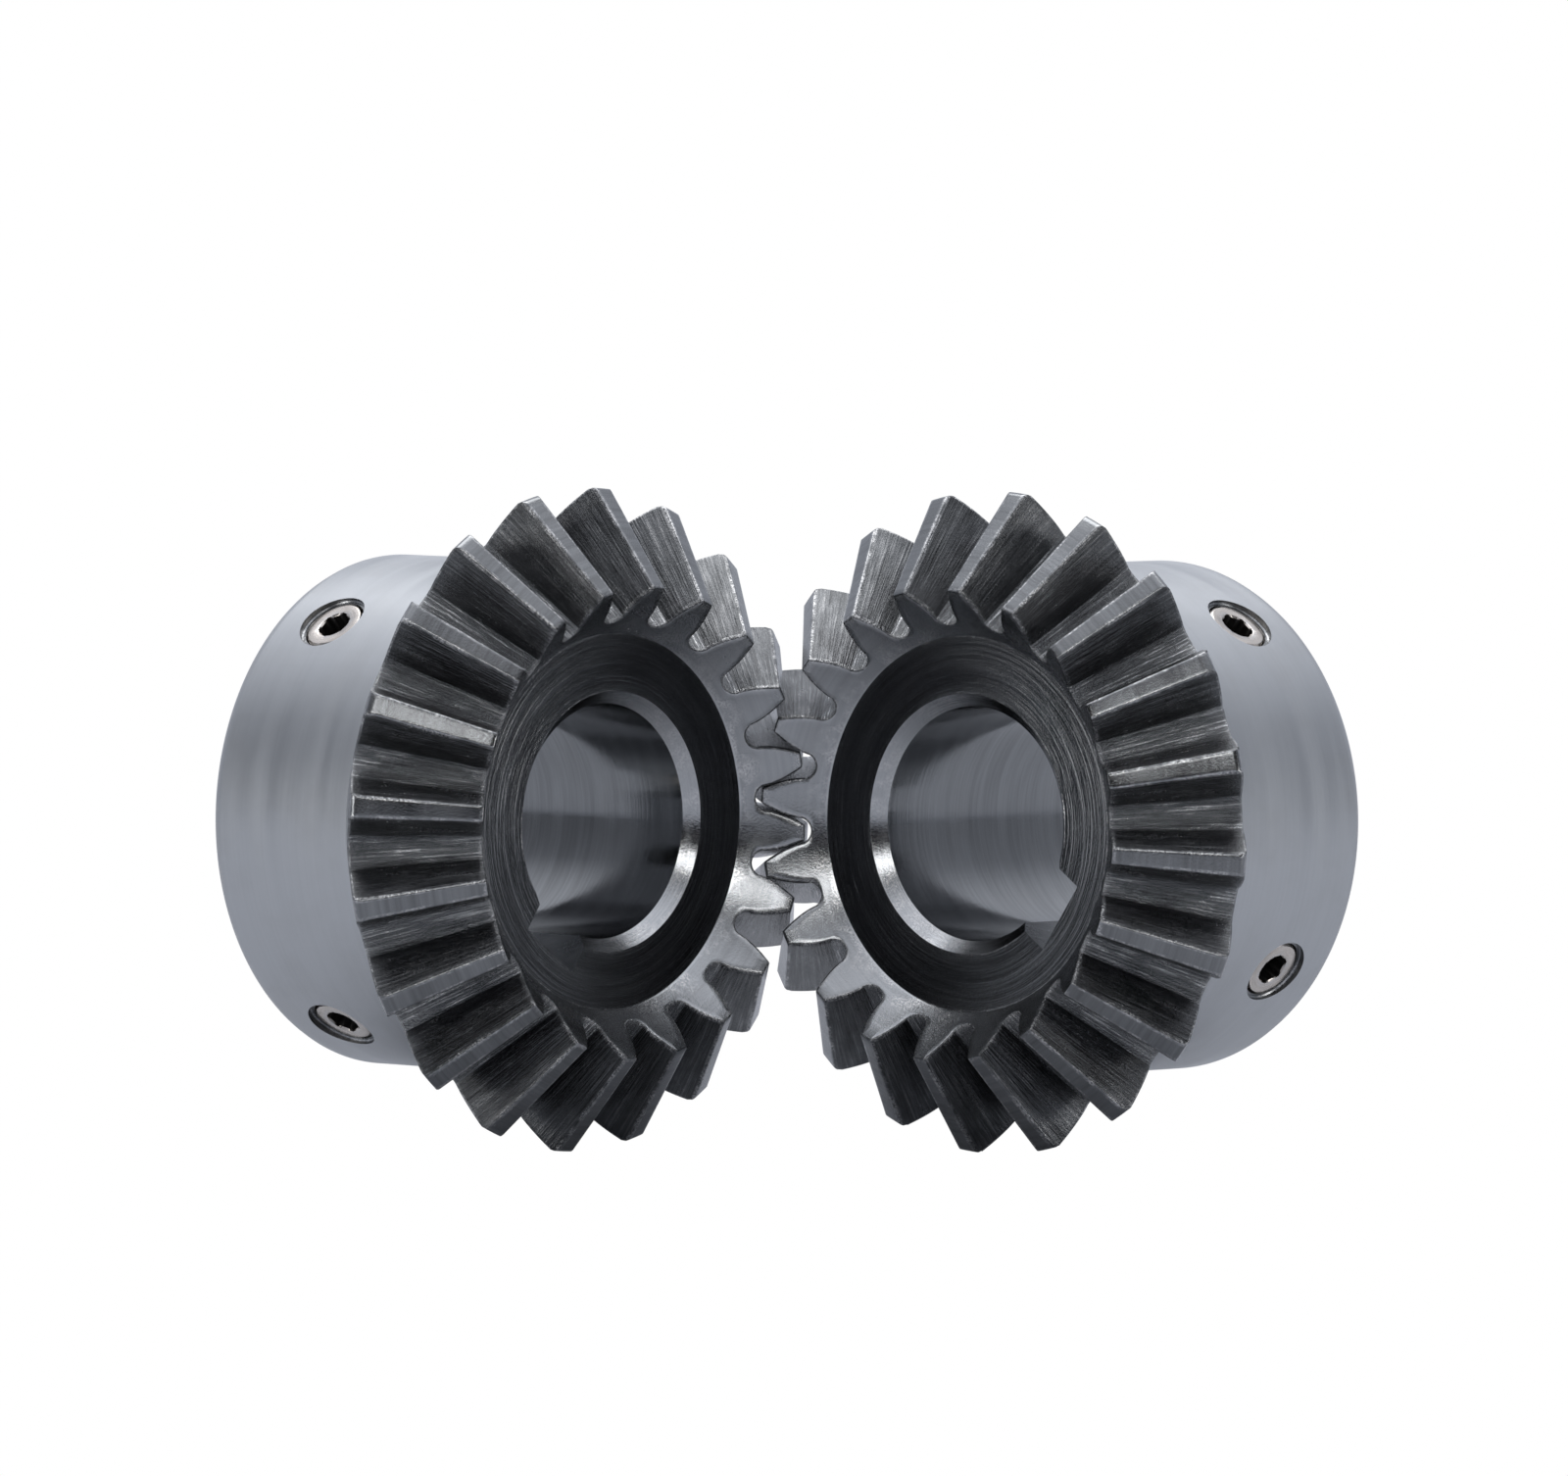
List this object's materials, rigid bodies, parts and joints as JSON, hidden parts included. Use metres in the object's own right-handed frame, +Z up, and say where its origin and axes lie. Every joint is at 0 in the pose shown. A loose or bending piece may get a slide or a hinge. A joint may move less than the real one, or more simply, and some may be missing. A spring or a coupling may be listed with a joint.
{
  "type": "bevel gear pair",
  "caption": "Pair of equal straight bevel gears meshing at right angles, each with a keyed bore and socket set screws in its hub.",
  "frame": {"origin": "the crossing point of the two shaft axes, which is the apex of both pitch cones", "axes": "+Y from the crossing along the left gear's shaft towards its hub, +X the same for the right gear, +Z up; the teeth meet between +X and +Y"},
  "size_m": [0.0568, 0.0568, 0.0428],
  "materials": {
    "gear_steel": "turned steel, oiled dark tooth flanks",
    "screw_steel": "plated steel screw",
    "datum_marker": "plain marker bead"
  },
  "bodies": {
    "shaft_crossing": {"shaft_crossing_datum": "datum_marker"},
    "left_gear": {"left_gear": "gear_steel"},
    "right_gear": {"right_gear": "gear_steel"},
    "left_key_set_screw": {"left_key_set_screw": "screw_steel"},
    "left_open_set_screw": {"left_open_set_screw": "screw_steel"},
    "right_key_set_screw": {"right_key_set_screw": "screw_steel"},
    "right_open_set_screw": {"right_open_set_screw": "screw_steel"}
  },
  "joints": [
    {"name": "left_gear_spin", "type": "hinge", "parent": "shaft_crossing", "child": "left_gear", "pos_m": [0, 0.0258, 0], "axis": [0, 1, 0], "continuous": true},
    {"name": "right_gear_spin", "type": "hinge", "parent": "shaft_crossing", "child": "right_gear", "pos_m": [0.0258, 0, 0], "axis": [1, 0, 0], "continuous": true},
    {"name": "left_key_set_screw_travel", "type": "slide", "parent": "left_gear", "child": "left_key_set_screw", "axis": [-0.5736, 0, -0.8192], "range_m": [-0.00055, 0.004]},
    {"name": "left_open_set_screw_travel", "type": "slide", "parent": "left_gear", "child": "left_open_set_screw", "axis": [-0.6428, 0, 0.766], "range_m": [-0.00255, 0.004]},
    {"name": "right_key_set_screw_travel", "type": "slide", "parent": "right_gear", "child": "right_key_set_screw", "axis": [0, -0.8192, -0.5736], "range_m": [-0.00055, 0.004]},
    {"name": "right_open_set_screw_travel", "type": "slide", "parent": "right_gear", "child": "right_open_set_screw", "axis": [0, -0.6157, 0.788], "range_m": [-0.00255, 0.004]}
  ],
  "couplings": [
    {"joint": "right_gear_spin", "follows": "left_gear_spin", "ratio": -1}
  ]
}
